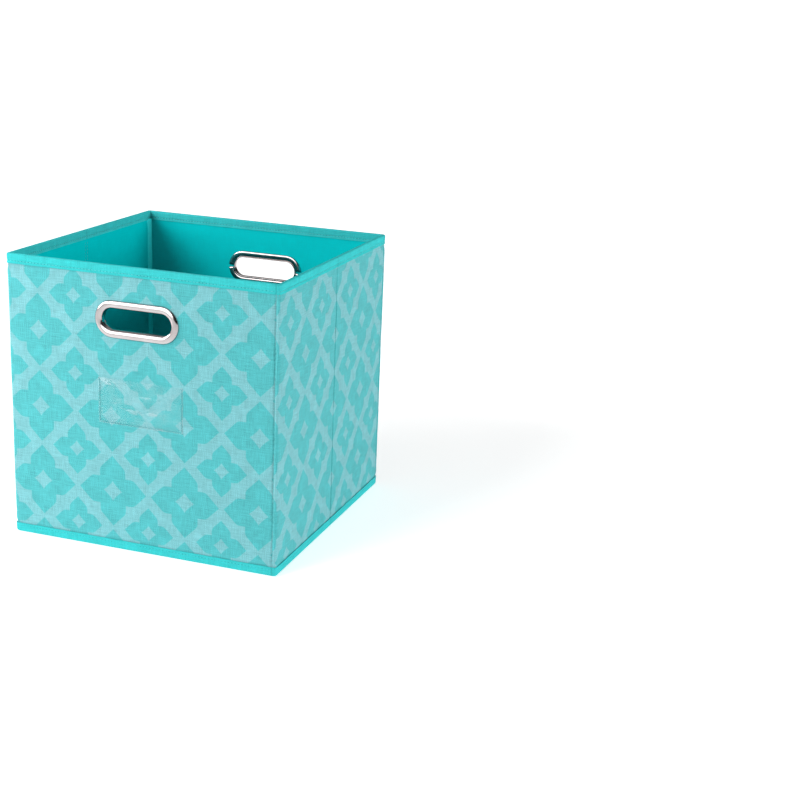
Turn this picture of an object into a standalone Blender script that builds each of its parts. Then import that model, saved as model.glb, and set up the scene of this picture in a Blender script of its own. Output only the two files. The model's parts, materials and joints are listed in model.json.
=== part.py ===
"""A collapsible fabric storage bin: four stiffened fabric walls, a loose floor insert and two ring handles.

Frame: +Z up, the front wall faces -Y, and the origin is the centre of the footprint on the ground.
The front wall stands still. Each side wall is two halves with a crease between them, and the creases
fold inwards until the back wall lies against the front wall.
"""

import math

import bmesh
import bpy
from mathutils import Matrix, Vector

# Driving dimensions, in metres.
SIDE = 0.324  # outer width, depth and height
TAPE = 0.0005  # binding tape, one layer
FABRIC = 0.0005  # printed outer fabric
BOARD = 0.0015  # wall stiffener
LINING = 0.0004
GAP = 0.0003  # between pieces that touch
TAPE_HEIGHT = 0.011
TAPE_FLANGE = 0.008  # how far the bottom tape turns in under the bin

HINGE_SETBACK = 0.0092  # from a wall's inner face to the axis that its side half turns on
HINGE_DEPTH = 0.0038  # of that axis from the side wall's outer face
SKIN_START = 0.0005  # from the hinge axis to the first edge of a half's skins
BOARD_START = 0.0015
BOARD_CREASE_MARGIN = 0.003

HANDLE_CENTRE = (-0.0035, 0.265)  # across and height, on the front wall seen from outside
SLOT_WIDTH = 0.082
SLOT_HEIGHT = 0.024
RING_BAND = 0.009
RING_CROWN = 0.0032
SLEEVE_WALL = 0.001
CLAMP_BAND = 0.0072
CLAMP_CROWN = 0.0025
CLAMP_END_ANGLE = math.radians(5)  # leaves 3 mm between the two clamp halves
ARC_STEPS = 12
CROWN_STEPS = 6

POCKET_WIDTH = 0.102
POCKET_HEIGHT = 0.052
POCKET_BOTTOM = 0.147
POCKET_FILM = 0.0003
POCKET_CORNER = 0.002

INSERT_SIDE = 0.312
INSERT_BOARD = 0.002
INSERT_COVER = 0.0004
INSERT_HEM = 0.020  # of the cover turned in under the board
INSERT_AXIS_INSET = 0.0027  # of the tilt axis from the insert's front edge

HALF = SIDE / 2
FABRIC_DEPTH = TAPE + GAP
BOARD_DEPTH = FABRIC_DEPTH + FABRIC + GAP
LINING_DEPTH = BOARD_DEPTH + BOARD + GAP
INNER_TAPE_DEPTH = LINING_DEPTH + LINING + GAP
WALL = INNER_TAPE_DEPTH + TAPE
UNDER_TAPE = SIDE - TAPE - GAP  # top of everything that the rim tape covers
ON_FLANGE = TAPE + GAP  # bottom of everything that stands on the bottom tape
ON_BASE = ON_FLANGE + LINING + GAP
HINGE_ACROSS = HALF - WALL - HINGE_SETBACK
CREASE_OUT = GAP  # the crease axis runs this far outside the side wall
INSERT_TOP = ON_BASE + 2 * (INSERT_COVER + GAP) + INSERT_BOARD
CORE = (SLOT_WIDTH - SLOT_HEIGHT) / 2  # from the handle's centre to the centre of each round end


def clear_scene():
    for obj in list(bpy.data.objects):
        bpy.data.objects.remove(obj, do_unlink=True)


def linear(channel):
    """One sRGB channel, 0 to 1, as the scene-linear value that a shader takes."""
    return channel / 12.92 if channel <= 0.04045 else ((channel + 0.055) / 1.055) ** 2.4


def finish(name, colour, roughness, metallic=0.0, alpha=1.0):
    material = bpy.data.materials.new(name)
    material.use_nodes = True
    shader = material.node_tree.nodes["Principled BSDF"]
    shader.inputs["Base Color"].default_value = (*map(linear, colour), 1.0)
    shader.inputs["Roughness"].default_value = roughness
    shader.inputs["Metallic"].default_value = metallic
    shader.inputs["Alpha"].default_value = alpha
    material.diffuse_color = (*colour, alpha)
    return material


# Colours of the finishes, as sRGB channels from 0 to 1.
FINISHES = {
    "printed": dict(colour=(0.44, 0.80, 0.81), roughness=0.85),
    "plain": dict(colour=(0.40, 0.84, 0.84), roughness=0.85),
    "lining": dict(colour=(0.10, 0.68, 0.69), roughness=0.9),
    "cardboard": dict(colour=(0.62, 0.50, 0.36), roughness=0.95),
    "chrome": dict(colour=(0.86, 0.87, 0.88), roughness=0.12, metallic=1.0),
    "film": dict(colour=(0.85, 0.92, 0.93), roughness=0.08, alpha=0.3),
}


class Body:
    """Pieces that move as one. Their shapes are given in wall terms: across to the right seen from
    outside, depth inwards from the outer face, and height above the ground."""

    def __init__(self, name, pivot, turn):
        self.pivot = bpy.data.objects.new(name + "_axis", None)
        self.pivot.location = pivot
        self.pivot.rotation_euler.z = turn
        bpy.context.scene.collection.objects.link(self.pivot)
        axis = Matrix.Rotation(-turn, 3, "Z") @ Vector(pivot)
        self.origin = Vector((0, HALF, 0)) + axis

    def add(self, name, shape, look):
        bmesh.ops.translate(shape, vec=-self.origin, verts=shape.verts)
        bmesh.ops.recalc_face_normals(shape, faces=shape.faces)
        mesh = bpy.data.meshes.new(name)
        shape.to_mesh(mesh)
        shape.free()
        mesh.materials.append(finish(name + "_" + look, **FINISHES[look]))
        obj = bpy.data.objects.new(name, mesh)
        obj.parent = self.pivot
        bpy.context.scene.collection.objects.link(obj)
        return obj


def wall_prism(profile, start, end):
    """An outline of (depth, height) points, drawn out along the wall from start to end."""
    shape = bmesh.new()
    face = shape.faces.new([shape.verts.new((start, depth, height)) for depth, height in profile])
    drawn = bmesh.ops.extrude_face_region(shape, geom=[face])
    moved = [item for item in drawn["geom"] if isinstance(item, bmesh.types.BMVert)]
    bmesh.ops.translate(shape, vec=(end - start, 0, 0), verts=moved)
    return shape


def slab(start, end, depth, thickness, bottom, top):
    near, far = depth, depth + thickness
    return wall_prism([(near, bottom), (far, bottom), (far, top), (near, top)], start, end)


def rim_tape_profile():
    """Folded over the rim: an outer leg, the top, and an inner leg."""
    bottom, under = SIDE - TAPE_HEIGHT, SIDE - TAPE
    outer, inner = TAPE, INNER_TAPE_DEPTH
    return [
        (0, bottom), (outer, bottom), (outer, under), (inner, under),
        (inner, bottom), (WALL, bottom), (WALL, SIDE), (0, SIDE),
    ]  # fmt: skip


def foot_tape_profile():
    """A leg up the outer face and a flange turned in under the bin."""
    return [
        (0, 0), (TAPE_FLANGE, 0), (TAPE_FLANGE, TAPE),
        (TAPE, TAPE), (TAPE, TAPE_HEIGHT), (0, TAPE_HEIGHT),
    ]  # fmt: skip


def add_wall_layers(body, name, start, end, board_start, board_end):
    """The five layers of a wall or of half a side wall. It returns the three flat ones."""
    skin = slab(start, end, FABRIC_DEPTH, FABRIC, ON_FLANGE, UNDER_TAPE)
    core = slab(board_start, board_end, BOARD_DEPTH, BOARD, ON_BASE, UNDER_TAPE)
    inside = slab(start, end, LINING_DEPTH, LINING, ON_BASE, UNDER_TAPE)
    body.add(name + "_top_binding", wall_prism(rim_tape_profile(), start, end), "plain")
    body.add(name + "_bottom_binding", wall_prism(foot_tape_profile(), start, end), "plain")
    return [
        body.add(name + "_outer_fabric", skin, "printed"),
        body.add(name + "_board", core, "cardboard"),
        body.add(name + "_lining", inside, "lining"),
    ]


def swept_round_slot(section, centre, first, last):
    """A closed section of (radius, depth) points, swept round the slot's two ends and two straights from
    angle first to angle last. A full turn closes on itself, and a shorter sweep gets flat ends."""
    across, height = centre
    whole = last - first >= 2 * math.pi
    corners = [math.pi * (k + 0.5) for k in range(2) if first < math.pi * (k + 0.5) < last]
    angles = [first, *corners, last]
    stations = []
    for low, high in zip(angles, angles[1:]):
        middle = (low + high) / 2
        side = CORE if math.cos(middle) > 0 else -CORE
        steps = max(2, round(ARC_STEPS * (high - low) / math.pi))
        stations += [(side, low + (high - low) * k / steps) for k in range(steps + 1)]
    if whole:
        stations.pop()
    shape = bmesh.new()
    loops = [
        [
            shape.verts.new((across + side + r * math.cos(a), depth, height + r * math.sin(a)))
            for r, depth in section
        ]
        for side, a in stations
    ]
    pairs = list(zip(loops, loops[1:])) + ([(loops[-1], loops[0])] if whole else [])
    for here, there in pairs:
        for k in range(len(section)):
            shape.faces.new((here[k - 1], here[k], there[k], there[k - 1]))
    if not whole:
        shape.faces.new(loops[0])
        shape.faces.new(loops[-1])
    return shape


def crown(inner, outer, depth, rise):
    """Half-round points from the outer radius over to the inner one, standing rise off the depth given."""
    middle, half = (inner + outer) / 2, (outer - inner) / 2
    angles = [math.pi * k / CROWN_STEPS for k in range(CROWN_STEPS + 1)]
    return [(middle + half * math.cos(a), depth + rise * math.sin(a)) for a in angles]


def slot_cutter(body, name, centre):
    """Cuts the handle slot through a wall, with room for the ring's sleeve."""
    radius = SLOT_HEIGHT / 2 + SLEEVE_WALL + GAP
    across, height = centre
    outline = [
        (across + side * CORE + radius * math.cos(a), height + radius * math.sin(a))
        for side, turn in ((1, -math.pi / 2), (-1, math.pi / 2))
        for a in (turn + math.pi * k / ARC_STEPS for k in range(ARC_STEPS + 1))
    ]
    shape = bmesh.new()
    face = shape.faces.new([shape.verts.new((x, -WALL, z)) for x, z in outline])
    drawn = bmesh.ops.extrude_face_region(shape, geom=[face])
    moved = [item for item in drawn["geom"] if isinstance(item, bmesh.types.BMVert)]
    bmesh.ops.translate(shape, vec=(0, 3 * WALL, 0), verts=moved)
    cutter = body.add(name, shape, "plain")
    cutter.hide_render = True
    cutter.display_type = "WIRE"
    return cutter


def cut(obj, cutter):
    boolean = obj.modifiers.new("handle_slot", "BOOLEAN")
    boolean.operation = "DIFFERENCE"
    boolean.solver = "EXACT"
    boolean.object = cutter


def shade_round(obj):
    obj.data.shade_smooth()
    obj.data.set_sharp_from_angle(angle=math.radians(40))


def add_handle(body, name, centre):
    """A ring with a sleeve through the slot, held inside by two half-ring clamps."""
    slot = SLOT_HEIGHT / 2
    sleeve = slot + SLEEVE_WALL
    seat = FABRIC_DEPTH - GAP
    clamp_seat = LINING_DEPTH + LINING + GAP
    sleeve_end = clamp_seat + CLAMP_CROWN * 0.8
    ring = crown(slot, slot + RING_BAND, seat, -RING_CROWN)
    ring += [(slot, sleeve_end), (sleeve, sleeve_end), (sleeve, seat)]
    outer = body.add(name + "_outer_ring", swept_round_slot(ring, centre, 0, 2 * math.pi), "chrome")
    shade_round(outer)
    clamp = crown(sleeve + GAP, sleeve + GAP + CLAMP_BAND, clamp_seat, CLAMP_CROWN)
    for part, turn in (("upper", 0), ("lower", math.pi)):
        arc = (turn + CLAMP_END_ANGLE, turn + math.pi - CLAMP_END_ANGLE)
        half = body.add(f"{name}_inner_ring_{part}", swept_round_slot(clamp, centre, *arc), "chrome")
        shade_round(half)


def add_full_wall(body, name, handle_centre):
    edge = HALF - GAP
    board_edge = HALF - BOARD_DEPTH
    layers = add_wall_layers(body, name, -edge, edge, -board_edge, board_edge)
    cutter = slot_cutter(body, name + "_slot_cutter", handle_centre)
    for layer in layers:
        cut(layer, cutter)
    add_handle(body, name + "_handle", handle_centre)


def add_half_wall(body, name, direction):
    """Half a side wall, on the side of the crease that direction gives: 1 is right, seen from outside."""
    skins = sorted(direction * edge for edge in (HINGE_ACROSS - SKIN_START, CREASE_OUT))
    boards = sorted(direction * edge for edge in (HINGE_ACROSS - BOARD_START, BOARD_CREASE_MARGIN))
    add_wall_layers(body, name, *skins, *boards)


def add_corner_web(body, name, side):
    """The soft stretch of side wall between a full wall and the axis that the half beside it turns on."""
    low, high = WALL + GAP, HALF - HINGE_ACROSS - GAP
    profile = [(low, ON_BASE), (high, ON_BASE), (high, SIDE - GAP), (low, SIDE - GAP)]
    ends = sorted((side * HALF, side * (HALF - WALL)))
    body.add(name, wall_prism(profile, *ends), "plain")


def add_label_pocket(body):
    """A clear film, sewn down at its sides and bottom and open at its top."""
    near = FABRIC_DEPTH - GAP - POCKET_FILM
    reach, top = POCKET_WIDTH / 2, POCKET_BOTTOM + POCKET_HEIGHT
    shape = slab(-reach, reach, near, POCKET_FILM, POCKET_BOTTOM, top)
    through = POCKET_FILM / 2
    corners = [edge for edge in shape.edges if abs(edge.verts[0].co.y - edge.verts[1].co.y) > through]
    bmesh.ops.bevel(shape, geom=corners, offset=POCKET_CORNER, segments=4, profile=0.5, affect="EDGES")
    body.add("label_pocket", shape, "film")


def add_base_fabric(body):
    reach = HALF - BOARD_DEPTH
    across = 2 * reach
    sheet = slab(-reach, reach, BOARD_DEPTH, across, ON_FLANGE, ON_FLANGE + LINING)
    body.add("base_fabric", sheet, "lining")


def add_floor_insert(body):
    """A board in a fabric cover, which wraps its edges and is hemmed underneath."""
    inner = INSERT_SIDE / 2 - INSERT_COVER - GAP
    bottom = ON_BASE + INSERT_COVER + GAP
    board = slab(-inner, inner, HALF - inner, 2 * inner, bottom, bottom + INSERT_BOARD)
    body.add("floor_insert_board", board, "cardboard")

    cover = bmesh.new()
    rings = []
    for reach, height in (
        (INSERT_SIDE / 2 - INSERT_HEM, ON_BASE),
        (INSERT_SIDE / 2, ON_BASE),
        (INSERT_SIDE / 2, INSERT_TOP),
        (INSERT_SIDE / 2 - INSERT_COVER, INSERT_TOP - INSERT_COVER),
        (INSERT_SIDE / 2 - INSERT_COVER, ON_BASE + INSERT_COVER),
        (INSERT_SIDE / 2 - INSERT_HEM, ON_BASE + INSERT_COVER),
    ):
        corners = ((-reach, -reach), (reach, -reach), (reach, reach), (-reach, reach))
        rings.append([cover.verts.new((x, HALF + y, height)) for x, y in corners])
    for a, b in ((0, 1), (1, 2), (3, 4), (4, 5), (5, 0)):
        for k in range(4):
            cover.faces.new((rings[a][k - 1], rings[a][k], rings[b][k], rings[b][k - 1]))
    cover.faces.new(rings[2])
    cover.faces.new(rings[3])
    body.add("floor_insert_cover", cover, "lining")


def build():
    clear_scene()
    quarter = math.pi / 2
    across, height = HANDLE_CENTRE
    axis_x = HALF - HINGE_DEPTH
    crease_x = HALF + CREASE_OUT

    front = Body("front_wall", (0, 0, 0), 0)
    add_full_wall(front, "front", (across, height))
    add_label_pocket(front)
    add_base_fabric(front)
    add_corner_web(front, "front_left_corner_web", -1)
    add_corner_web(front, "front_right_corner_web", 1)

    back = Body("back_wall", (-axis_x, HINGE_ACROSS, 0), 2 * quarter)
    add_full_wall(back, "back", (across, height))
    add_corner_web(back, "back_right_corner_web", -1)
    add_corner_web(back, "back_left_corner_web", 1)

    # Seen from outside, the left wall's front half is on the right, and the right wall's on the left.
    for name, x, y, turn, direction in (
        ("left_front", -axis_x, -HINGE_ACROSS, -quarter, 1),
        ("left_rear", -crease_x, 0, -quarter, -1),
        ("right_front", axis_x, -HINGE_ACROSS, quarter, -1),
        ("right_rear", crease_x, 0, quarter, 1),
    ):
        add_half_wall(Body(name, (x, y, 0), turn), name, direction)

    insert_axis = -INSERT_SIDE / 2 + INSERT_AXIS_INSET
    add_floor_insert(Body("floor_insert", (0, insert_axis, INSERT_TOP), 0))


build()
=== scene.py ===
"""The looks of a collapsible fabric storage bin: printed fabric walls with bound edges, a plain lining,
chrome ring handles and a clear label pocket.

The bin's outline is one coordinate, called along: it is 0 at the middle of the front wall and grows
anticlockwise seen from above, one SIDE per wall. Depth runs inwards from the outer face.
"""

import json
import math

import bmesh
import bpy
from mathutils import Matrix, Vector, noise


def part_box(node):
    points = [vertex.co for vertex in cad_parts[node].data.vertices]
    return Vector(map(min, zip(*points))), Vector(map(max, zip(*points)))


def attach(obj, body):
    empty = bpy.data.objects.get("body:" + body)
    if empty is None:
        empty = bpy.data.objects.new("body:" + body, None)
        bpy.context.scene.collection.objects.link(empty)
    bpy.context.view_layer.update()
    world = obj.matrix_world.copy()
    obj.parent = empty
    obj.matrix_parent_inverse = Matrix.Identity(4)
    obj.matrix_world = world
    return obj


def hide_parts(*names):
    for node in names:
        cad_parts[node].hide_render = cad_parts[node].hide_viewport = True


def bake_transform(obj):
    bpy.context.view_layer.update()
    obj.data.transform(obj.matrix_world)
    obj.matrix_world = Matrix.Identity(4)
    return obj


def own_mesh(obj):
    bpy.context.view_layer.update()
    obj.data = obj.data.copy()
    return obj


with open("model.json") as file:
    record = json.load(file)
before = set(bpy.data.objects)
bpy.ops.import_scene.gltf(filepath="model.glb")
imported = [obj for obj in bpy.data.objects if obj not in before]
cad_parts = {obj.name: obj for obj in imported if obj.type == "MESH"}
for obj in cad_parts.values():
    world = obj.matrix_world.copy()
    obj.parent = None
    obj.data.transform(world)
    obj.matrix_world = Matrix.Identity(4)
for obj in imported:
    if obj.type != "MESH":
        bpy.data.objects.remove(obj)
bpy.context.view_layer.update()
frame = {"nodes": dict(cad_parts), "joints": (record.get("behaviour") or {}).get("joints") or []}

# Sizes in metres, read from the frame.
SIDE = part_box("front_top_binding")[1].z
HALF = SIDE / 2
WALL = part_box("front_top_binding")[1].y + HALF
RIM_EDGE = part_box("front_top_binding")[0].z
FOOT_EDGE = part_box("front_bottom_binding")[1].z
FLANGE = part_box("front_bottom_binding")[1].y + HALF
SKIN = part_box("front_outer_fabric")[0].y + HALF
SKIN_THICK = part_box("front_outer_fabric")[1].y + HALF - SKIN
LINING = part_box("front_lining")[1].y + HALF
LINING_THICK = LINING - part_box("front_lining")[0].y - HALF
CLOTH_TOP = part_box("front_outer_fabric")[1].z
CLOTH_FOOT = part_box("front_outer_fabric")[0].z
LINING_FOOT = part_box("front_lining")[0].z
MESH_GAP = 0.0003  # that the frame keeps between pieces that touch
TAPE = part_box("back_bottom_binding")[1].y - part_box("back_outer_fabric")[1].y - MESH_GAP
HINGE_X, HINGE_Y = next(joint["pos_m"][:2] for joint in frame["joints"] if joint["name"] == "wall_fold")
HINGE = -HINGE_Y  # from a side wall's middle to the axis that its half turns on
AXIS_DEPTH = HALF + HINGE_X

# Sizes in metres of the sewing and of how the fabric lies.
SEAM = 0.005  # from each corner to the seam on the wall before it
CORNER = 0.003  # radius of the outer corners
INNER_CORNER = 0.0012
JOIN = 0.074  # where a corner's fabric meets the crease's, from the middle of a side wall
STITCH_PITCH = 0.004
STITCH_LONG = 0.0029
STITCH_THREAD = 0.00028
STITCH_INSET = 0.003  # from a tape's raw edge to its stitches
SWELL = 0.0005  # how far the fabric stands out between its tapes
CREASE_STITCH = 0.0025  # from the crease to each of its two rows of stitches inside
KNUCKLE = 0.0030  # of fabric turned in round the axis at the corner where the loop of walls is open
FILM_THICK = 0.00025
HEM = 0.020  # of the floor insert's cover, underneath

# Sizes of the ring handles, in metres.
RING_BAND = 0.009
RING_RISE = 0.0035
RING_METAL = 0.0009
CLAMP_BAND = 0.0072
STRAIGHT_STEP = 0.004  # between the stops on a ring's straights
CLAMP_GAP = math.radians(5)  # half of the gap between the two clamps at each end, as an angle

# Colours in sRGB.
PRINT_DARK = (72, 169, 173)
PRINT_LIGHT = (111, 175, 181)
TAPE_COLOUR = (56, 183, 185)
# The seam strip's cloth colour, made brighter than the lining's and the tapes' to stand for the light falling
# on it: painted light.
STRIP_COLOUR_WITH_PAINTED_LIGHT = (60, 236, 238)
LINING_COLOUR = (0, 191, 195)
THREAD = (76, 188, 190)
FILM_THREAD = (40, 146, 152)

# The print: medallions in two sizes, in metres.
PRINT_PERIOD = (0.0882, 0.0870)  # across and up
PRINT_PHASE = ((0.0526, 0.1556), (-0.0010, 0.1470), (0.0210, 0.1556), (-0.0300, 0.1470))  # of each wall
PRINT_EDGE = 0.0003
PRINT_ROUND = 0.004  # of the medallions' shoulders
STAR_POWER = 0.87  # below 1, so that the star's sides are hollow
LARGE = dict(arm=0.0158, reach=0.0412, star=0.0116)
SMALL = dict(arm=0.0113, reach=0.0300, star=0.0092)


def smooth(value, low, high):
    """0 below low, 1 above high and a smooth step between them."""
    share = min(1.0, max(0.0, (value - low) / (high - low)))
    return share * share * (3 - 2 * share)


def dip(distance, width):
    """1 on a line, falling to 0 about one width away from it."""
    return math.exp(-((distance / width) ** 2))


def rough(*place):
    return noise.noise(Vector(place))


def spaced(start, end, step):
    count = max(1, round((end - start) / step))
    return [start + (end - start) * k / count for k in range(count + 1)]


def spread(start, end, features=(), coarse=0.0032, fine=0.0005):
    """Places from start to end, closer together near each feature."""
    found = [start]
    while found[-1] < end - fine / 2:
        near = min([abs(found[-1] - feature) for feature in features], default=coarse * 4)
        found.append(min(end, found[-1] + min(coarse, max(fine, near / 3))))
    return found


def around(along, depth, radius):
    """The point (x, y) on the outline at that depth, with rounded corners."""
    wall = math.floor((along + HALF) / SIDE)
    across = along - wall * SIDE
    straight = HALF - depth - radius
    x, y = abs(across), depth - HALF
    if x > straight:
        turn = math.pi / 4 * (x - straight) / (HALF - straight)
        x, y = straight + radius * math.sin(turn), -straight - radius * math.cos(turn)
    x = math.copysign(x, across)
    cos, sin = ((1, 0), (0, 1), (-1, 0), (0, -1))[wall % 4]
    return x * cos - y * sin, x * sin + y * cos


# Materials


class Finish:
    """A node material, and short ways to add to it."""

    def __init__(self, name, **constants):
        self.material = bpy.data.materials.new(name)
        self.material.use_nodes = True
        self.tree = self.material.node_tree
        self.shader = self.tree.nodes["Principled BSDF"]
        for key, value in constants.items():
            self.shader.inputs[key.replace("_", " ").title().replace("Ior", "IOR")].default_value = value

    def feed(self, socket, value):
        if isinstance(value, bpy.types.NodeSocket):
            self.tree.links.new(value, socket)
        else:
            socket.default_value = value

    def node(self, kind, inputs, output=0, **settings):
        made = self.tree.nodes.new("ShaderNode" + kind)
        for key, value in settings.items():
            setattr(made, key, value)
        for key, value in inputs.items():
            self.feed(made.inputs[key], value)
        return made.outputs[output]

    def maths(self, operation, *values):
        return self.node("Math", dict(enumerate(values)), operation=operation)

    def cloth(self):
        """(u, v) of the flat cloth in metres."""
        uv = self.node("UVMap", {}, uv_map="cloth")
        apart = self.tree.nodes.new("ShaderNodeSeparateXYZ")
        self.feed(apart.inputs[0], uv)
        return apart.outputs[0], apart.outputs[1]

    def noise(self, u, v, per_u, per_v, detail=2.0, roughness=0.5):
        """Noise from 0 to 1 that changes about per_u times in a metre of u and per_v of v."""
        scaled = self.node(
            "CombineXYZ", {0: self.maths("MULTIPLY", u, per_u), 1: self.maths("MULTIPLY", v, per_v)}
        )
        values = {"Vector": scaled, "Scale": 1.0, "Detail": detail, "Roughness": roughness}
        return self.node("TexNoise", values)

    def ramp(self, value, low, high, start=0.0, end=1.0):
        values = {0: value, 1: low, 2: high, 3: start, 4: end}
        return self.node("MapRange", values, interpolation_type="SMOOTHSTEP")

    def mix(self, share, first, second):
        return self.node("Mix", {0: share, 6: first, 7: second}, output=2, data_type="RGBA")

    def shade(self, colour, factor):
        """The colour, brighter or darker by that factor."""
        if not isinstance(colour, bpy.types.NodeSocket):
            colour = colour[:3]
        return self.node("VectorMath", {0: colour, "Scale": factor}, operation="SCALE")

    def painted_crease_shade(self, factor, depth):
        """The factor, made that much smaller where the cloth is pressed in: painted shade in the creases and
        seam grooves.
        """
        pressed = self.node("Attribute", {}, output=2, attribute_name="pressed")
        return self.maths("MULTIPLY", factor, self.maths("MULTIPLY_ADD", pressed, -depth, 1.0))

    def bump(self, height, distance, strength=1.0):
        normal = self.node("Bump", {"Height": height, "Distance": distance, "Strength": strength})
        self.feed(self.shader.inputs["Normal"], normal)


def linear(*channels):
    """An sRGB colour, with channels from 0 to 255, as the scene-linear colour that a shader takes."""
    shares = (channel / 255 for channel in channels)
    return (*(c / 12.92 if c <= 0.04045 else ((c + 0.055) / 1.055) ** 2.4 for c in shares), 1.0)


def woven(finish, u, v, pitch, slub=0.25):
    """(shade from 0 to 1, height from 0 to 1) of a plain weave with uneven yarns."""
    per = 1 / pitch
    warp = finish.noise(u, v, per, per * 0.09, detail=1.5)
    weft = finish.noise(finish.maths("ADD", u, 7.3), v, per * 0.09, per, detail=1.5)
    over = finish.maths(
        "MULTIPLY",
        finish.maths("SINE", finish.maths("MULTIPLY", u, math.pi * per)),
        finish.maths("SINE", finish.maths("MULTIPLY", v, math.pi * per)),
    )
    which = finish.ramp(over, -0.5, 0.5)
    yarn = finish.node("Mix", {0: which, 2: warp, 3: weft}, data_type="FLOAT")
    patches = finish.noise(u, v, 60, 60, detail=3)
    shade = finish.maths("MULTIPLY_ADD", patches, slub, finish.maths("MULTIPLY", yarn, 1 - slub))
    hill = finish.maths("ABSOLUTE", over)
    height = finish.maths("MULTIPLY_ADD", hill, 0.45, finish.maths("MULTIPLY", yarn, 0.8))
    return shade, height


def medallion(finish, u, v, offset, arm, reach, star):
    """1 on a four-armed medallion, with a star left out of its middle. One stands in each period."""
    x, y = (
        finish.maths(
            "ABSOLUTE",
            finish.maths("WRAP", finish.maths("ADD", place, offset * period), period / 2, -period / 2),
        )
        for place, period in zip((u, v), PRINT_PERIOD)
    )
    narrow = finish.maths("SUBTRACT", finish.maths("MINIMUM", x, y), arm)
    tips = finish.maths("MULTIPLY", finish.maths("SUBTRACT", finish.maths("ADD", x, y), reach), 0.7071)
    outline = finish.maths("SMOOTH_MAX", narrow, tips, PRINT_ROUND)
    body = finish.ramp(outline, -PRINT_EDGE, PRINT_EDGE, 1.0, 0.0)
    powers = [finish.maths("POWER", place, STAR_POWER) for place in (x, y)]
    spread_out = finish.maths("POWER", finish.maths("ADD", *powers), 1 / STAR_POWER)
    hole = finish.ramp(spread_out, star - 2 * PRINT_EDGE, star + 2 * PRINT_EDGE)
    return finish.maths("MULTIPLY", body, hole)


def printed_fabric():
    finish = Finish(
        "printed_fabric", roughness=0.9, sheen_weight=0.12, sheen_roughness=0.5, specular_ior_level=0.25
    )
    u, v = finish.cloth()
    shade, height = woven(finish, u, v, 0.0013)
    wobble = finish.maths("MULTIPLY_ADD", finish.noise(u, v, 900, 900), 0.0008, -0.0004)
    u_print = finish.maths("ADD", u, wobble)
    v_print = finish.maths("SUBTRACT", v, wobble)
    large = medallion(finish, u_print, v_print, 0.0, **LARGE)
    small = medallion(finish, u_print, v_print, 0.5, **SMALL)
    ink = finish.maths("MAXIMUM", large, small)
    colour = finish.mix(ink, linear(*PRINT_LIGHT), linear(*PRINT_DARK))
    thin = finish.maths("MULTIPLY_ADD", shade, 1.3, 0.35)
    # the print is darkened in the creases and seam grooves: painted shade
    finish.feed(finish.shader.inputs["Base Color"], finish.shade(colour, finish.painted_crease_shade(thin, 0.55)))
    finish.feed(finish.shader.inputs["Roughness"], finish.ramp(shade, 0.3, 0.7, 0.82, 0.95))
    finish.bump(height, 0.00022)
    return finish.material


def plain_cloth(name, colour, pitch, contrast, relief, gloss, stitch_rows=()):
    """A plain woven cloth. Each stitch row is a v at which painted shade darkens the needle holes."""
    finish = Finish(name, roughness=0.9, specular_ior_level=gloss)
    u, v = finish.cloth()
    shade, height = woven(finish, u, v, pitch)
    factor = finish.maths("MULTIPLY_ADD", shade, contrast, 1 - contrast / 2)
    half_pitch = STITCH_PITCH / 2
    for row in stitch_rows:
        step = finish.maths("WRAP", finish.maths("ADD", u, half_pitch), half_pitch, -half_pitch)
        off_row = finish.maths("DIVIDE", finish.maths("SUBTRACT", v, row), 0.0007)
        off_hole = finish.maths("DIVIDE", step, 0.0009)
        far = finish.maths("ADD", finish.maths("POWER", off_row, 2), finish.maths("POWER", off_hole, 2))
        # painted shade in the needle holes: the colour falls to 62 to 92 per cent there
        uneven = finish.ramp(finish.noise(u, v, 90, 90), 0.35, 0.65, 0.62, 0.92)
        factor = finish.maths("MULTIPLY", factor, finish.ramp(far, 0.1, 1.2, uneven, 1.0))
    # darker in the creases and seam grooves: painted shade
    factor = finish.painted_crease_shade(factor, 0.45)
    finish.feed(finish.shader.inputs["Base Color"], finish.shade(linear(*colour), factor))
    finish.feed(finish.shader.inputs["Roughness"], finish.ramp(shade, 0.3, 0.7, 0.82, 0.96))
    finish.bump(height, relief)
    return finish.material


def thread(name, colour):
    finish = Finish(name, roughness=0.6, sheen_weight=0.1, specular_ior_level=0.3)
    spot = finish.node("TexCoord", {}, output=3)
    yarn = {"Vector": spot, "Scale": 900.0, "Distortion": 1.5}
    twist = finish.node("TexWave", yarn, output=1, bands_direction="DIAGONAL")
    factor = finish.maths("MULTIPLY_ADD", twist, 0.3, 0.8)
    finish.feed(finish.shader.inputs["Base Color"], finish.shade(linear(*colour), factor))
    finish.bump(twist, 0.0001)
    return finish.material


def chrome():
    finish = Finish("polished_chrome", metallic=1.0, roughness=0.12)
    spot = finish.node("TexCoord", {}, output=3)
    cloudy = finish.node("TexNoise", {"Vector": spot, "Scale": 60.0, "Detail": 4.0})
    colour = finish.mix(cloudy, linear(168, 160, 160), linear(196, 189, 189))
    finish.feed(finish.shader.inputs["Base Color"], colour)
    finish.feed(finish.shader.inputs["Roughness"], finish.ramp(cloudy, 0.3, 0.7, 0.13, 0.2))
    return finish.material


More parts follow.
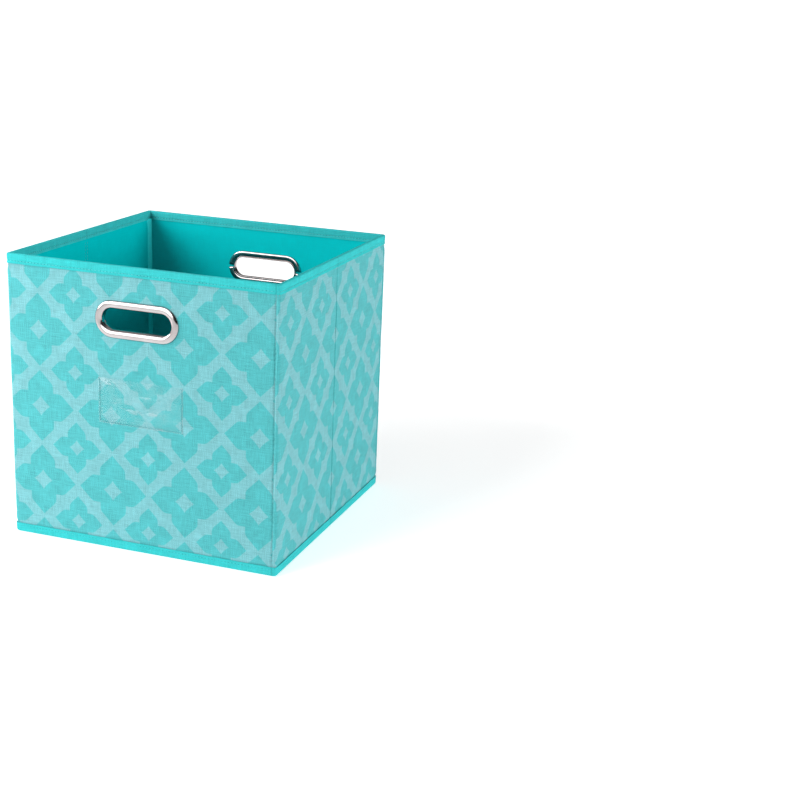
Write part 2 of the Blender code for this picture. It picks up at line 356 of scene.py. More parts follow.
def clear_film(low, high):
    """The label film. It is hazier along its sewn hem, and a few whiter, less clear streaks are painted
    glints.
    """
    finish = Finish("clear_film", roughness=0.1, ior=1.5, coat_weight=0.4, specular_ior_level=0.7)
    u, v = finish.cloth()
    haze = finish.noise(u, v, 45, 70, detail=3)
    from_left, from_right = finish.maths("SUBTRACT", u, low.x), finish.maths("SUBTRACT", high.x, u)
    from_side = finish.maths("MINIMUM", from_left, from_right)
    from_edge = finish.maths("MINIMUM", from_side, finish.maths("SUBTRACT", v, low.z))
    hem = finish.ramp(from_edge, 0.0010, 0.0030, 0.05, 0.0)
    # painted glints: streaks where the film is whiter and less clear
    painted_glint = finish.ramp(finish.noise(u, v, 30, 95, detail=2), 0.60, 0.72, 0.0, 0.24)
    colour = finish.mix(haze, linear(150, 215, 220), linear(215, 236, 238))
    finish.feed(finish.shader.inputs["Base Color"], colour)
    finish.feed(finish.shader.inputs["Roughness"], finish.ramp(haze, 0.3, 0.7, 0.06, 0.16))
    faint = finish.maths("ADD", finish.ramp(haze, 0.3, 0.8, 0.02, 0.09), hem)
    finish.feed(finish.shader.inputs["Alpha"], finish.maths("ADD", faint, painted_glint))
    return finish.material


def cardboard():
    finish = Finish("grey_board", roughness=0.95, specular_ior_level=0.2)
    spot = finish.node("TexCoord", {}, output=3)
    fibres = finish.node("TexNoise", {"Vector": spot, "Scale": 400.0, "Detail": 6.0, "Roughness": 0.7})
    colour = finish.mix(fibres, linear(134, 116, 92), linear(176, 156, 128))
    finish.feed(finish.shader.inputs["Base Color"], colour)
    finish.bump(fibres, 0.0002)
    return finish.material


def floor_paint():
    finish = Finish("floor_paint", roughness=0.9, specular_ior_level=0.1)
    spot = finish.node("TexCoord", {}, output=3)
    patches = finish.node("TexNoise", {"Vector": spot, "Scale": 3.0})
    colour = finish.mix(patches, (0.80, 0.80, 0.80, 1), (0.82, 0.82, 0.82, 1))
    finish.feed(finish.shader.inputs["Base Color"], colour)
    finish.shader.inputs["Emission Color"].default_value = (1, 1, 1, 1)
    finish.shader.inputs["Emission Strength"].default_value = 0.6
    return finish.material


# Building


def make(name, shape, finish, body=None):
    """An object from a bmesh, smooth, which rides on the body."""
    mesh = bpy.data.meshes.new(name)
    shape.to_mesh(mesh)
    shape.free()
    mesh.materials.append(finish)
    mesh.shade_smooth()
    obj = bpy.data.objects.new(name, mesh)
    bpy.context.scene.collection.objects.link(obj)
    if body:
        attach(obj, body)
    return obj


def border(last_i, last_j):
    """The places (i, j) round the edge of a grid, once each and in order."""
    there = [(i, 0) for i in range(last_i)] + [(last_i, j) for j in range(last_j)]
    return there + [(i, last_j) for i in range(last_i, 0, -1)] + [(0, j) for j in range(last_j, 0, -1)]


def cloth_mesh(columns, rows, point, uv, turned=False, thickness=None, pressed=None):
    """A sheet through point(column, row). Its face looks towards columns x rows, or away from it if turned.
    With a thickness it gets a back, which lies that far behind it, and closed edges. pressed(column, row)
    says how firmly the cloth is pressed in there, from 0 to 1, and so how much painted shade darkens its
    colour there."""
    shape = bmesh.new()
    layer = shape.loops.layers.uv.new("cloth")
    # this layer carries the painted shade of the creases and seam grooves
    crease_shade_layer = shape.verts.layers.float.new("pressed")
    front = [[shape.verts.new(point(column, row)) for row in rows] for column in columns]
    if pressed:
        for i, column in enumerate(columns):
            for j, row in enumerate(rows):
                front[i][j][crease_shade_layer] = pressed(column, row)
    places = [[uv(column, row) for row in rows] for column in columns]
    cells = []
    for i in range(len(columns) - 1):
        for j in range(len(rows) - 1):
            corners = [(i, j), (i + 1, j), (i + 1, j + 1), (i, j + 1)]
            cells.append(corners[::-1] if turned else corners)

    def fill(grid, corners):
        face = shape.faces.new([grid[i][j] for i, j in corners])
        for loop, (i, j) in zip(face.loops, corners):
            loop[layer].uv = places[i][j]

    for corners in cells:
        fill(front, corners)
    if thickness is None:
        return shape
    shape.normal_update()
    back = [[shape.verts.new(vert.co - vert.normal * thickness) for vert in column] for column in front]
    for corners in cells:
        fill(back, corners[::-1])
    rim = border(len(columns) - 1, len(rows) - 1)
    for here, there in zip(rim, rim[1:] + rim[:1]):
        pairs = [(front, there), (front, here), (back, here), (back, there)]
        if turned:
            pairs.reverse()
        face = shape.faces.new([grid[i][j] for grid, (i, j) in pairs])
        for loop, (_, (i, j)) in zip(face.loops, pairs):
            loop[layer].uv = places[i][j]
        for edge in face.edges:
            edge.smooth = False
    return shape


def add_stitch(shape, start, end, out, thread_radius):
    """A short bowed thread from start to end, which sinks in at both ends."""
    line = end - start
    side = line.cross(out).normalized()
    rings = []
    for share in (0.0, 0.12, 0.35, 0.65, 0.88, 1.0):
        bow = 1 - (2 * share - 1) ** 2
        middle = start + line * share + out * thread_radius * (1.3 * bow - 0.7)
        radius = thread_radius * (0.6 + 0.4 * bow)
        rings.append(
            [
                shape.verts.new(middle + (side * math.cos(a) + out * math.sin(a)) * radius)
                for a in (math.tau * k / 6 for k in range(6))
            ]
        )
    for here, there in zip(rings, rings[1:]):
        for k in range(6):
            shape.faces.new((here[k - 1], here[k], there[k], there[k - 1]))
    shape.faces.new(rings[0])
    shape.faces.new(rings[-1])


def stitch_centres(start, end, pitch=STITCH_PITCH):
    """The middles of the stitches between start and end. Rows on neighbouring pieces run on in step."""
    first = math.ceil(start / pitch + 0.5)
    return [pitch * k for k in range(first, math.floor(end / pitch - 0.5) + 1)]


def stitches(name, ends, finish, thread_radius=STITCH_THREAD):
    """One object of stitches. ends is a list of (start, end, outward direction)."""
    shape = bmesh.new()
    for start, end, out in ends:
        add_stitch(shape, start, end, out, thread_radius)
    bmesh.ops.recalc_face_normals(shape, faces=shape.faces)
    return make(name, shape, finish)


# The walls, piece by piece round the outline


class Stretch:
    """The stretch of wall from start to end along the outline. It rides on one body; a stretch across the
    joint between two bodies is attached to neither and doesn't bend. hinge_y, where that joint lies, is not
    used.
    The print is laid from the middle of a wall."""

    def __init__(self, name, start, end, bodies, hinge_y=None, web=None):
        self.name, self.start, self.end = name, start, end
        self.bodies, self.hinge_y = bodies, hinge_y
        self.web = [web + "_corner_web"] if web else []

    def wall(self):
        """Which wall the print of this stretch belongs to: 0 is the front, and they run anticlockwise."""
        return round((self.start + self.end) / 2 / SIDE)

    def node(self, ending):
        """The CAD node of this stretch with that ending, as a list, which is empty if there is none."""
        return [self.name + ending] if self.name + ending in frame["nodes"] else []

    def attach(self, obj):
        if len(self.bodies) == 1:
            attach(obj, self.bodies[0])
        else:
            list(self.bodies)
            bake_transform(obj)
        return obj

    def outside(self, along, depth, height):
        return self.place(along, depth, height, CORNER)

    def inside(self, along, depth, height):
        return self.place(along, depth, height, INNER_CORNER)

    def place(self, along, depth, height, radius):
        """A point on this stretch. The fabric that starts the open corner turns in round the axis there."""
        over = SIDE + HINGE - along
        if self.name != OPEN_CORNER or over <= 0:
            return Vector((*around(along, depth, radius), height))
        turn = math.pi / 2 * over / KNUCKLE
        reach = max(AXIS_DEPTH - depth - 0.0006 * smooth(over, 0, 0.001), 0.0002)
        return Vector((-HINGE_X + reach * math.cos(turn), HINGE - reach * math.sin(turn), height))

    def columns(self, coarse=0.0032):
        seams = [wall * SIDE + HALF - SEAM for wall in range(-1, 4)]
        corners = [wall * SIDE + HALF + side for wall in range(-1, 4) for side in (-CORNER, 0, CORNER)]
        creases = [wall * SIDE + offset for wall in (1, 3) for offset in (-CREASE_STITCH, 0, CREASE_STITCH)]
        hinges = [wall * SIDE + side * HINGE for wall in (1, 3) for side in (-1, 1)]
        return spread(self.start, self.end, seams + corners + creases + hinges, coarse)


OPEN_CORNER = "back_right_corner"
OPEN_GAP = 0.0004  # between the two fabrics that meet at the open corner
FRONT_SEAM = HALF - SEAM

RIGHT, BACK, LEFT = SIDE, 2 * SIDE, 3 * SIDE  # where the walls' middles are

STRETCHES = [
    Stretch("front", FRONT_SEAM - SIDE, FRONT_SEAM, ["front_wall"]),
    Stretch(
        "right_front", FRONT_SEAM, RIGHT - JOIN, ["front_wall", "right_front_panel"], -HINGE, "front_right"
    ),
    Stretch("right_crease", RIGHT - JOIN, RIGHT + JOIN, ["right_front_panel", "right_rear_panel"], 0),
    Stretch("right_rear", RIGHT + JOIN, RIGHT + HINGE - OPEN_GAP, ["right_rear_panel"]),
    Stretch(OPEN_CORNER, RIGHT + HINGE - KNUCKLE, RIGHT + FRONT_SEAM, ["back_wall"], None, "back_right"),
    Stretch("back", RIGHT + FRONT_SEAM, BACK + FRONT_SEAM, ["back_wall"]),
    Stretch(
        "left_rear", BACK + FRONT_SEAM, LEFT - JOIN, ["left_rear_panel", "back_wall"], HINGE, "back_left"
    ),
    Stretch("left_crease", LEFT - JOIN, LEFT + JOIN, ["left_front_panel", "left_rear_panel"], 0),
    Stretch(
        "left_front", LEFT + JOIN, LEFT + FRONT_SEAM, ["front_wall", "left_front_panel"], -HINGE, "front_left"
    ),
]


def to_seam(along):
    """The distance to the nearest corner seam."""
    return abs((along - FRONT_SEAM + HALF) % SIDE - HALF)


def to_crease(along):
    """The distance to the nearest side wall's crease."""
    return min(abs(along - SIDE), abs(along - 3 * SIDE), abs(along + SIDE))


def skin_depth(along, height):
    """How deep the printed fabric's outer face lies."""
    between = smooth(height, FOOT_EDGE, FOOT_EDGE + 0.006) * (1 - smooth(height, RIM_EDGE - 0.010, RIM_EDGE))
    seam = dip(to_seam(along), 0.0011)
    crease = dip(to_crease(along), 0.0008)
    past_seam = (along - FRONT_SEAM) % SIDE < SIDE / 2
    welt = dip(to_seam(along) - 0.0028, 0.0014) if past_seam else 0.0
    waves = 0.00030 * rough(along * 22, height * 18, 3.1) + 0.00010 * rough(along * 90, height * 60, 8.2)
    by_tapes = dip(height - RIM_EDGE, 0.012) + dip(height - FOOT_EDGE, 0.012)
    pucker = 0.00012 * rough(along * 260, height * 30, 5.5) * by_tapes
    sewn = 0.00010 * rough(height * 260, along * 30, 2.5) * dip(to_seam(along), 0.006)
    raised = SWELL + waves + 0.00025 * welt + 0.0002 * dip(height - FOOT_EDGE - 0.006, 0.005)
    return SKIN - between * (raised + pucker + sewn) + between * (0.0006 * seam + 0.0022 * crease)


def lining_depth(along, height):
    """How deep the lining's inner face lies."""
    between = smooth(height, FOOT_EDGE, FOOT_EDGE + 0.02) * (1 - smooth(height, RIM_EDGE - 0.012, RIM_EDGE))
    rows = dip(to_crease(along) - CREASE_STITCH, 0.0007)
    waves = 0.00030 * rough(along * 18, height * 15, 13.1) + 0.00012 * rough(along * 80, height * 55, 18.2)
    return LINING + between * (0.0004 + waves - 0.0007 * rows)


def handle_cutter(side_name):
    """A block that cuts the handle's slot through the fabric. It isn't part of the bin."""
    name = side_name + "_cutter"
    low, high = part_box(side_name + "_handle_outer_ring")
    middle, clear, steps = (low + high) / 2, 0.0013, 16
    radius = (high.z - low.z) / 2 - RING_BAND + clear
    core = (high.x - low.x) / 2 - (high.z - low.z) / 2
    outline = [
        (side * core + radius * math.cos(a), radius * math.sin(a))
        for side, turn in ((1, -math.pi / 2), (-1, math.pi / 2))
        for a in (turn + math.pi * k / steps for k in range(steps + 1))
    ]
    shape = bmesh.new()
    face = shape.faces.new([shape.verts.new((middle.x + x, low.y - 0.01, middle.z + z)) for x, z in outline])
    drawn = bmesh.ops.extrude_face_region(shape, geom=[face])
    moved = [item for item in drawn["geom"] if isinstance(item, bmesh.types.BMVert)]
    bmesh.ops.translate(shape, vec=(0, 0.03, 0), verts=moved)
    bmesh.ops.recalc_face_normals(shape, faces=shape.faces)
    mesh = bpy.data.meshes.new(name)
    shape.to_mesh(mesh)
    shape.free()
    cutter = bpy.data.objects.new(name, mesh)
    bpy.context.scene.collection.objects.link(cutter)
    return cutter


def cut_slot(obj, cutter):
    """Cuts the slot and keeps the result as the object's mesh."""
    modifier = obj.modifiers.new("slot", "BOOLEAN")
    modifier.operation = "DIFFERENCE"
    modifier.solver = "EXACT"
    modifier.object = cutter
    bpy.context.view_layer.update()
    graph = bpy.context.evaluated_depsgraph_get()
    cut = bpy.data.meshes.new_from_object(obj.evaluated_get(graph))
    obj.modifiers.clear()
    obj.data = cut


def add_skin(stretch, finish, cutter):
    """The printed fabric on the outside."""
    middle = stretch.wall() * SIDE
    phase = PRINT_PHASE[stretch.wall() % 4]
    rows = spread(CLOTH_FOOT, CLOTH_TOP, [FOOT_EDGE, RIM_EDGE])
    shape = cloth_mesh(
        stretch.columns(),
        rows,
        lambda along, height: stretch.outside(along, skin_depth(along, height), height),
        lambda along, height: (along - middle - phase[0], height - phase[1]),
        thickness=SKIN_THICK,
        # painted shade: how much the seam groove and the crease darken the print
        pressed=lambda along, _: max(0.3 * dip(to_seam(along), 0.0012), dip(to_crease(along), 0.0007)),
    )
    piece = make(stretch.name + "_printed_fabric", shape, finish)
    if cutter:
        cut_slot(piece, cutter)
    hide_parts(*stretch.node("_outer_fabric"), *stretch.web)
    return stretch.attach(piece)


def add_lining(stretch, finish, cutter):
    middle = stretch.wall() * SIDE
    rows = spread(LINING_FOOT, CLOTH_TOP, [RIM_EDGE])
    shape = cloth_mesh(
        stretch.columns(),
        rows,
        lambda along, height: stretch.inside(along, lining_depth(along, height), height),
        lambda along, height: (along - middle, height),
        turned=True,
        thickness=LINING_THICK,
    )
    piece = make(stretch.name + "_lining_cloth", shape, finish)
    if cutter:
        cut_slot(piece, cutter)
    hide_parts(*stretch.node("_lining"))
    return stretch.attach(piece)


def arc(centre, radius, first, last, steps=5):
    """(depth, height) points on an arc, at angles from the way out of the bin, in degrees."""
    turns = [math.radians(first + (last - first) * k / steps) for k in range(steps + 1)]
    return [(centre[0] - radius * math.cos(a), centre[1] + radius * math.sin(a)) for a in turns]


def rim_profile():
    """(depth, height) points up the outside, over the rim and down the inside."""
    bend = 0.0015
    leg = spaced(RIM_EDGE, SIDE - bend, 0.0009)
    over = arc((bend, SIDE - bend), bend, 0, 90) + arc((WALL - bend, SIDE - bend), bend, 90, 180)
    return [(0.0, height) for height in leg[:-1]] + over + [(WALL, height) for height in leg[-2::-1]]


def foot_profile():
    """(depth, height) points down the outside and in under the bin."""
    bend = 0.0028
    leg = [(0.0, height) for height in spaced(FOOT_EDGE, bend, 0.0009)[:-1]]
    under = [(depth, 0.0) for depth in spaced(bend + 0.0010, FLANGE, 0.0014)]
    return leg + arc((bend, bend), bend, 0, -90, 7) + under


def lengths(profile):
    """How far along the profile each point is."""
    found = [0.0]
    for here, there in zip(profile, profile[1:]):
        found.append(found[-1] + math.dist(here, there))
    return found


def add_tape(stretch, kind, profile, edge, finish):
    """A binding tape swept along the profile. Its stitch row pulls it in and its edges stand proud."""
    middle = stretch.wall() * SIDE
    far = lengths(profile)

    def point(along, k):
        depth, height = profile[k]
        row = dip(abs(height - edge) - STITCH_INSET, 0.0009)
        lift = dip(height - edge, 0.0012)
        inner = depth > WALL / 2 and kind == "top"
        ripple = 0.00022 * rough(along * 180, far[k] * 160, 4.4)
        ripple += 0.00018 * rough(along * 55, far[k] * 90, 9.4)
        seam = dip(to_seam(along), 0.0009)
        push = ripple * (row + lift + 0.25) + 0.0002 * lift - 0.00035 * row - 0.0004 * seam
        if kind == "bottom" and height < 0.003:
            push = 0
        depth += push if inner else -push
        return (stretch.inside if inner else stretch.outside)(along, depth, height)

    shape = cloth_mesh(
        stretch.columns(0.0022),
        range(len(profile)),
        point,
        lambda along, k: (along - middle, far[k]),
        thickness=TAPE,
        turned=kind == "bottom",
        # painted shade: how much the seam groove and the crease darken the tape
        pressed=lambda along, _: max(0.3 * dip(to_seam(along), 0.0012), 0.6 * dip(to_crease(along), 0.0007)),
    )
    piece = make(f"{stretch.name}_{kind}_tape", shape, finish)
    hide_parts(*stretch.node(f"_{kind}_binding"))
    return stretch.attach(piece)


def sewn_along(stretch, height, depth, place):
    """The ends of a level row of stitches."""
    ends = []
    half = STITCH_LONG / 2
    for middle in stitch_centres(stretch.start, stretch.end):
        out = place(middle, depth - 0.001, height) - place(middle, depth, height)
        start, end = (place(middle + side, depth, height) for side in (-half, half))
        ends.append((start, end, out.normalized()))
    return ends


def sewn_up(along, aside, limits, depth_of, place, lift, pitch=0.0055):
    """The ends of an upright row of stitches, aside of a line and lifted off the cloth's depth there."""

    def spot(height, further=0.0):
        return place(along + aside, depth_of(along, height) - lift - further, height)

    ends = []
    half = STITCH_LONG / 2
    for middle in stitch_centres(*limits, pitch):
        out = spot(middle, 0.001) - spot(middle)
        ends.append((spot(middle - half), spot(middle + half), out.normalized()))
    return ends


def add_wall_stitches(stretch, finish):
    """Along both tapes inside and out, down the corner seam and on both sides of the crease."""
    pressed = 0.0002
    outside, inside = stretch.outside, stretch.inside
    ends = sewn_along(stretch, RIM_EDGE + STITCH_INSET, pressed, outside)
    ends += sewn_along(stretch, FOOT_EDGE - STITCH_INSET, pressed, outside)
    inner = sewn_along(stretch, RIM_EDGE + STITCH_INSET, WALL - pressed, inside)
    ends += [(start, end, -out) for start, end, out in inner]
    for seam in (wall * SIDE + FRONT_SEAM for wall in range(-1, 4)):
        if stretch.start - 1e-6 <= seam < stretch.end - 1e-6:
            ends += sewn_up(seam, 0.0004, (FOOT_EDGE, RIM_EDGE), skin_depth, outside, 0.0001)
    for crease in (SIDE, 3 * SIDE):
        if stretch.start < crease < stretch.end:
            for side in (-CREASE_STITCH, CREASE_STITCH):
                limits = (LINING_FOOT, RIM_EDGE)
                row = sewn_up(crease + side, 0.0, limits, lining_depth, inside, 0.0, STITCH_PITCH)
                ends += [(start, end, -out) for start, end, out in row]
    piece = stitches(stretch.name + "_stitches", ends, finish)
    return stretch.attach(piece)


# The handles


def sweep_slot(section, middle, core, first=0.0, last=math.tau, steps=28):
    """A closed section of (radius, depth) points swept round a slot with round ends."""
    whole = last - first > math.tau - 1e-6
    turns = [first, *(turn for turn in (math.pi / 2, 3 * math.pi / 2) if first < turn < last), last]
    ends = []
    for low, high in zip(turns, turns[1:]):
        side = core if math.cos((low + high) / 2) > 0 else -core
        count = max(3, round(steps * (high - low) / math.pi))
        ends += [(side, low + (high - low) * k / count) for k in range(count + 1)]
    # The straights between the round ends get stops of their own, so that they reflect evenly.
    stations = [ends[0]]
    for here, there in zip(ends, ends[1:]):
        count = max(1, round(abs(there[0] - here[0]) / STRAIGHT_STEP))
        for k in range(1, count + 1):
            stations.append(tuple(a + (b - a) * k / count for a, b in zip(here, there)))
    if whole:
        stations.pop()
    shape = bmesh.new()
    rings = [
        [
            shape.verts.new((middle[0] + side + r * math.cos(a), depth, middle[1] + r * math.sin(a)))
            for r, depth in section
        ]
        for side, a in stations
    ]
    for here, there in list(zip(rings, rings[1:])) + ([(rings[-1], rings[0])] if whole else []):
        for k in range(len(section)):
            shape.faces.new((here[k - 1], here[k], there[k], there[k - 1]))
    if not whole:
        shape.faces.new(rings[0])
        shape.faces.new(rings[-1])
    return shape


def crown(inner, outer, depth, rise, power, steps=18):
    """Points over a rounded band from its outer radius to its inner one."""
    middle, half = (inner + outer) / 2, (outer - inner) / 2
    points = []
    for k in range(steps + 1):
        a = math.pi * k / steps
        c, s = math.cos(a), math.sin(a)
        points.append((middle + half * math.copysign(abs(c) ** power, c), depth + rise * s**power))
    return points


def to_wall(shape, side):
    """Moves a shape made for the front wall, in depths, to the front or, turned, to the back wall."""
    bmesh.ops.translate(shape, vec=(0, -HALF, 0), verts=shape.verts)
    if side == "back":
        bmesh.ops.rotate(shape, cent=(0, 0, 0), matrix=Matrix.Rotation(math.pi, 3, "Z"), verts=shape.verts)
    bmesh.ops.recalc_face_normals(shape, faces=shape.faces)


def add_handle(side, finish):
    """An outer ring, pressed from sheet with a sleeve through the slot, and the two clamps inside."""
    low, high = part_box(side + "_handle_outer_ring")
    outer = (high.z - low.z) / 2
    inner = outer - RING_BAND
    across = (low.x + high.x) / 2 * (1 if side == "front" else -1)
    core = (high.x - low.x) / 2 - outer
    middle = (across, (low.z + high.z) / 2)
    seat = 0.0008
    clamp_low, clamp_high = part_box(side + "_handle_inner_ring_upper")
    clamp_seat = HALF - max(abs(clamp_low.y), abs(clamp_high.y))
    clamp_rise = abs(clamp_high.y - clamp_low.y)
    sleeve_end = clamp_seat + 0.0020
    section = crown(inner, outer, seat, -RING_RISE, 0.95)
    section += [(inner, seat + 0.001), (inner, sleeve_end - 0.0003), (inner + 0.0003, sleeve_end)]
    section += [(inner + RING_METAL, sleeve_end), (inner + RING_METAL, seat + 0.001)]
    section.append((inner + 0.0016, seat + 0.0001))
    ring = sweep_slot(section, middle, core)
    to_wall(ring, side)
    piece = make(side + "_handle_ring", ring, finish, side + "_wall")
    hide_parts(side + "_handle_outer_ring")
    clamp_inner = inner + RING_METAL + MESH_GAP
    for half, start in (("upper", 0.0), ("lower", math.pi)):
        band = crown(clamp_inner, clamp_inner + CLAMP_BAND, clamp_seat, clamp_rise, 0.7)
        clamp = sweep_slot(band, middle, core, start + CLAMP_GAP, start + math.pi - CLAMP_GAP)
        to_wall(clamp, side)
        piece = make(f"{side}_handle_clamp_{half}", clamp, finish, side + "_wall")
        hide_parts(f"{side}_handle_inner_ring_{half}")


# The small pieces


def film_depth(x, z, low, high):
    """The label film: sewn down at its sides and bottom, slack at the top, with a few soft waves."""
    from_side = min(x - low.x, high.x - x)
    slack = smooth(from_side, 0, 0.012) * smooth(z, low.z, low.z + 0.020)
    open_top = smooth(z, low.z + 0.02, high.z)
    waves = 0.0010 * rough(x * 38, z * 30, 21.0) + 0.0005 * rough(x * 95 + z * 60, z * 80, 27.0)
    fold = dip((z - low.z - 0.018) - (x - low.x) * 0.06, 0.004)
    droop = 0.0006 * fold * smooth(x, low.x + 0.02, low.x + 0.06)
    return skin_depth(x, z) - 0.0004 - slack * (0.0007 + 0.0006 * open_top + waves + droop)


def add_label_pocket(film, sewing):
    low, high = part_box("label_pocket")
    columns = spaced(low.x, high.x, 0.0014)
    rows = spaced(low.z, high.z, 0.0014)
    shape = cloth_mesh(
        columns,
        rows,
        lambda x, z: Vector((x, film_depth(x, z, low, high) - HALF, z)),
        lambda x, z: (x, z),
        thickness=FILM_THICK,
    )
    pocket = make("clear_label_pocket", shape, film, "front_wall")
    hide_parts("label_pocket")
    inset, pitch, half = 0.0016, 0.0035, 0.0012
    up, along = Vector((0, 0, half)), Vector((half, 0, 0))
    left, right, foot = low.x + inset, high.x - inset, low.z + inset
    places = [(x, z, up) for x in (left, right) for z in stitch_centres(low.z, high.z, pitch)]
    places += [(x, foot, along) for x in stitch_centres(left, right, pitch)]
    ends = []
    for x, z, reach in places:
        middle = Vector((x, film_depth(x, z, low, high) - HALF, z))
        ends.append((middle - reach, middle + reach, Vector((0, -1, 0))))
    seam = stitches("label_pocket_stitches", ends, sewing, 0.00032)
    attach(seam, "front_wall")


def add_corner_strip(side_x, side_y, finish):
    """The strip that covers a corner's seam inside. It runs from the side wall to the front or back wall."""
    on_side, on_wall = 0.0085, 0.0028
    corner = HALF - LINING
    rows = spaced(LINING_FOOT, RIM_EDGE + 0.001, 0.004)

    def point(share, height):
        x = corner - on_wall * share - 0.0006 * math.sin(math.pi * share)
        y = corner - on_side * (1 - share) - 0.0001
        wave = 0.0002 * rough(height * 40, share, side_x + 2 * side_y)
        return Vector((side_x * (x - wave), side_y * y, height))

    shape = cloth_mesh(
        spaced(0, 1, 1 / 8),
        rows,
        point,
        lambda share, height: (share * 0.009, height),
        turned=side_x * side_y > 0,
        thickness=0.0005,
    )
    name = f"{'back' if side_y > 0 else 'front'}_{'left' if side_x < 0 else 'right'}_seam_strip"
    strip = make(name, shape, finish, "back_wall" if side_y > 0 else "front_wall")


def add_base_fabric(finish):
    """The cloth bottom, with slight waves. It rides on the front wall."""
    low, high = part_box("base_fabric")
    columns = spaced(low.x, high.x, 0.008)
    rows = spaced(low.y, high.y, 0.008)
    middle = (low.z + high.z) / 2 + 0.0002

    def point(x, y):
        inner = min(1.0, (high.x - abs(x)) / 0.03, (high.y - abs(y)) / 0.03)
        return Vector((x, y, middle + 0.00025 * inner * rough(x * 14, y * 14, 31.0)))

    shape = cloth_mesh(columns, rows, point, lambda x, y: (x, y), thickness=high.z - low.z)
    base = make("bottom_fabric", shape, finish, "front_wall")
    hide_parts("base_fabric")
    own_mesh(base)


def add_floor_insert(finish):
    """The insert's cover: pulled over the board, rounded at the edges and hemmed underneath."""
    low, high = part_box("floor_insert_cover")
    half, edge = high.x, (high.z - low.z) / 2
    thick, corner, cells = 0.0004, 0.004, 40

    def rounded(i, j, reach):
        """Where a square grid's point (i, j) lies on a rounded square of that half width."""
        core = reach - corner
        x, y = (reach * (2 * k / cells - 1) for k in (i, j))
        over_x, over_y = max(0.0, abs(x) - core), max(0.0, abs(y) - core)
        if over_x and over_y:
            pull = max(over_x, over_y) / math.hypot(over_x, over_y)
            x = math.copysign(core + over_x * pull, x)
            y = math.copysign(core + over_y * pull, y)
        return x, y

    shape = bmesh.new()
    top = {}
    for i in range(cells + 1):
        for j in range(cells + 1):
            x, y = rounded(i, j, half - edge)
            inner = smooth(half - edge - max(abs(x), abs(y)), 0, 0.02)
            top[i, j] = shape.verts.new((x, y, high.z + 0.0006 * inner * rough(x * 20, y * 20, 41.0)))
    for i in range(cells):
        for j in range(cells):
            shape.faces.new([top[i, j], top[i + 1, j], top[i + 1, j + 1], top[i, j + 1]])
    rim = border(cells, cells)
    turns = [math.pi / 2 - math.pi * k / 8 for k in range(1, 9)]
    profile = [(half - edge + edge * math.cos(a), low.z + edge * (1 + math.sin(a))) for a in turns]
    profile += [(half - edge - HEM * k / 3, low.z) for k in range(1, 4)]
    above = [top[place] for place in rim]
    for reach, height in profile:
        below = [shape.verts.new((*rounded(i, j, reach), height)) for i, j in rim]
        for k in range(len(rim)):
            shape.faces.new([above[k - 1], below[k - 1], below[k], above[k]])
        above = below
    bmesh.ops.recalc_face_normals(shape, faces=shape.faces)
    bmesh.ops.solidify(shape, geom=shape.faces[:], thickness=thick)
    layer = shape.loops.layers.uv.new("cloth")
    for face in shape.faces:
        for loop in face.loops:
            loop[layer].uv = loop.vert.co.xy
    cover = make("floor_insert_fabric", shape, finish, "floor_insert")
    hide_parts("floor_insert_cover")


# The stage


def add_floor(finish):
    shape = bmesh.new()
    bmesh.ops.create_grid(shape, x_segments=8, y_segments=8, size=60)
    bmesh.ops.translate(shape, vec=(0, 0, -0.0003), verts=shape.verts)
    make("floor", shape, finish)


def towards(azimuth, elevation):
    """The way out from the bin. Azimuth 0 is in front of it and 90 degrees to its right."""
    azimuth, elevation = math.radians(azimuth), math.radians(elevation)
    level = math.cos(elevation)
    return Vector((math.sin(azimuth) * level, -math.cos(azimuth) * level, math.sin(elevation)))


def add_light(kind, name, azimuth, elevation, power, size, distance=2.0):
    """A lamp that shines at the bin. The size is an area lamp's diameter in metres, or a sun's in degrees."""
    away = towards(azimuth, elevation)
    light = bpy.data.lights.new(name, kind)
    light.energy = power
    if kind == "SUN":
        light.angle = math.radians(size)
    else:
        light.shape = "DISK"
        light.size = size
    lamp = bpy.data.objects.new(name, light)
    lamp.location = away * distance + Vector((0, 0, HALF))
    lamp.rotation_euler = away.to_track_quat("Z", "Y").to_euler()
    bpy.context.scene.collection.objects.link(lamp)
    return lamp


def add_lights():
    """Two soft suns, a lamp at the left and a card that is seen only in reflections."""
    key = add_light("SUN", "key_light", -30, 30, 1.74, 24)
    fill = add_light("SUN", "fill_light", 95, 12, 2.35, 24)
    for sun in (key, fill):
        sun.visible_glossy = False
    add_light("AREA", "left_light", -60, 25, 6.0, 0.5, 0.9)
    card = add_light("AREA", "reflection_card", -16, 32, 26, 1.7, 1.5)
    card.visible_diffuse = False


def add_camera():
    """The camera, which stands to the right of the front wall and looks down on it, a little tilted."""
    roll = math.radians(2.487)
    back = towards(18.03, 16.886)
    level = Vector((0, 0, 1)).cross(back).normalized()
    rise = back.cross(level)
    right = level * math.cos(roll) + rise * math.sin(roll)
    up = rise * math.cos(roll) - level * math.sin(roll)
    camera = bpy.data.objects.new("camera", bpy.data.cameras.new("camera"))
    camera.data.lens = 64.97
    camera.data.clip_end = 200
    camera.matrix_world = Matrix((right, up, back)).transposed().to_4x4()
    camera.location = (right * 0.728 + up * 0.397 + back * 5.428) * SIDE
    bpy.context.scene.collection.objects.link(camera)
    bpy.context.scene.camera = camera


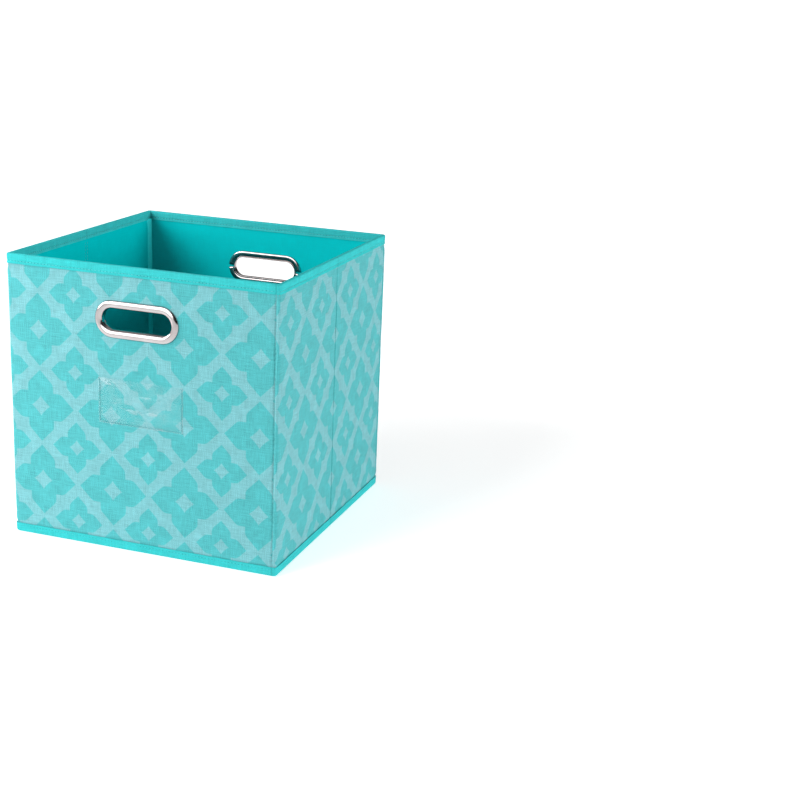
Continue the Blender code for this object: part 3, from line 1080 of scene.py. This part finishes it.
def add_world():
    """White light from overhead, a dim horizon and a dark wall on the right. The camera sees plain white."""
    world = bpy.data.worlds.new("studio")
    world.use_nodes = True
    tree = world.node_tree
    way = tree.nodes.new("ShaderNodeTexCoord").outputs["Generated"]
    apart = tree.nodes.new("ShaderNodeSeparateXYZ")
    tree.links.new(way, apart.inputs[0])
    shares = []
    for axis, limits in ((2, (0.2, 0.8, 0.17, 0.45)), (0, (0.0, 0.6, 1.0, 0.06))):
        step = tree.nodes.new("ShaderNodeMapRange")
        step.interpolation_type = "SMOOTHSTEP"
        tree.links.new(apart.outputs[axis], step.inputs[0])
        for k, value in enumerate(limits, 1):
            step.inputs[k].default_value = value
        shares.append(step.outputs[0])

    def combine(operation, sockets):
        made = tree.nodes.new("ShaderNodeMath")
        made.operation = operation
        for socket, source in zip(made.inputs, sockets):
            tree.links.new(source, socket)
        return made.outputs[0]

    seen = tree.nodes.new("ShaderNodeLightPath").outputs["Is Camera Ray"]
    strength = combine("MAXIMUM", (combine("MULTIPLY", shares), seen))
    tree.links.new(strength, tree.nodes["Background"].inputs["Strength"])
    tree.nodes["Background"].inputs["Color"].default_value = (1, 1, 1, 1)
    bpy.context.scene.world = world


def build():
    add_camera()
    prints, metal, sewing = printed_fabric(), chrome(), thread("sewing_thread", THREAD)
    film, film_sewing = clear_film(*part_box("label_pocket")), thread("label_thread", FILM_THREAD)
    lining = plain_cloth("lining_cloth", LINING_COLOUR, 0.0012, 0.36, 0.00015, 0.06)
    rows = (STITCH_INSET, lengths(rim_profile())[-1] - STITCH_INSET)
    rim_tape = plain_cloth("rim_tape", TAPE_COLOUR, 0.0013, 0.95, 0.0002, 0.06, rows)
    foot_tape = plain_cloth("foot_tape", TAPE_COLOUR, 0.0013, 0.95, 0.0002, 0.06, rows[:1])
    # the seam strip's colour carries painted light
    strip = plain_cloth("seam_strip_painted_light_cloth", STRIP_COLOUR_WITH_PAINTED_LIGHT, 0.0009, 0.30, 0.0002, 0.05)
    board = cardboard()
    for name, node in frame["nodes"].items():
        if name.endswith("_board"):
            node.data.materials.clear()
            node.data.materials.append(board)
    cutters = {side: handle_cutter(side) for side in ("front", "back")}
    for stretch in STRETCHES:
        cutter = cutters.get(stretch.name)
        add_skin(stretch, prints, cutter)
        add_lining(stretch, lining, cutter)
        add_tape(stretch, "top", rim_profile(), RIM_EDGE, rim_tape)
        add_tape(stretch, "bottom", foot_profile(), FOOT_EDGE, foot_tape)
        add_wall_stitches(stretch, sewing)
    for cutter in cutters.values():
        bpy.data.objects.remove(cutter)
    for side in ("front", "back"):
        add_handle(side, metal)
    add_label_pocket(film, film_sewing)
    for side_x in (-1, 1):
        for side_y in (-1, 1):
            add_corner_strip(side_x, side_y, strip)
    add_base_fabric(lining)
    add_floor_insert(lining)
    add_floor(floor_paint())
    add_lights()
    add_world()
    bpy.context.scene.view_settings.view_transform = "Standard"


build()
